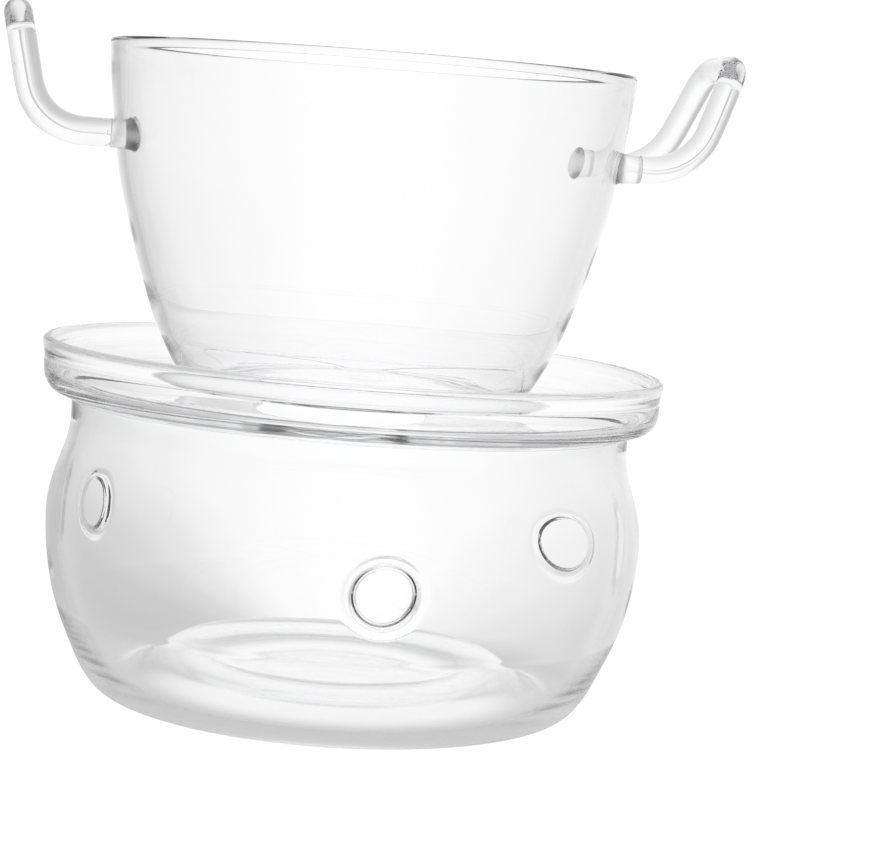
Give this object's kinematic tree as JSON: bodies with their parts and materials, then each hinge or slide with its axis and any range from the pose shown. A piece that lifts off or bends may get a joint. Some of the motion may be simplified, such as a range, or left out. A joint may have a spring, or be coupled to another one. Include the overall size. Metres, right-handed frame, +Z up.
{
  "type": "chocolate melting pot",
  "caption": "Clear glass chocolate melting pot with rod handles, standing on the lobed ledge of a round glass tealight warmer with vent holes; the pot lifts off.",
  "frame": {"origin": "on the table plane under the common axis of the pot and the warmer", "axes": "+Z up along the common axis; +X towards the right handle, so that both handles lie along X; -Y is the front, with one vent hole"},
  "size_m": [0.159, 0.135, 0.1462],
  "materials": {
    "pot_glass": "clear blown borosilicate glass, fire-polished rim",
    "rod_glass": "clear bent borosilicate rod, fused at the feet",
    "warmer_glass": "clear blown borosilicate glass, fire-polished vent holes"
  },
  "bodies": {
    "warmer": {"warmer_body": "warmer_glass", "warmer_collar": "warmer_glass", "warmer_ledge": "warmer_glass"},
    "pot": {"pot_bowl": "pot_glass", "pot_handle_left": "rod_glass", "pot_handle_right": "rod_glass", "handle_foot_left_front": "rod_glass", "handle_foot_left_rear": "rod_glass", "handle_foot_right_front": "rod_glass", "handle_foot_right_rear": "rod_glass"}
  },
  "joints": [
    {"name": "pot_lift", "type": "slide", "parent": "warmer", "child": "pot", "axis": [0, 0, 1], "range_m": [0, 0.1]}
  ]
}
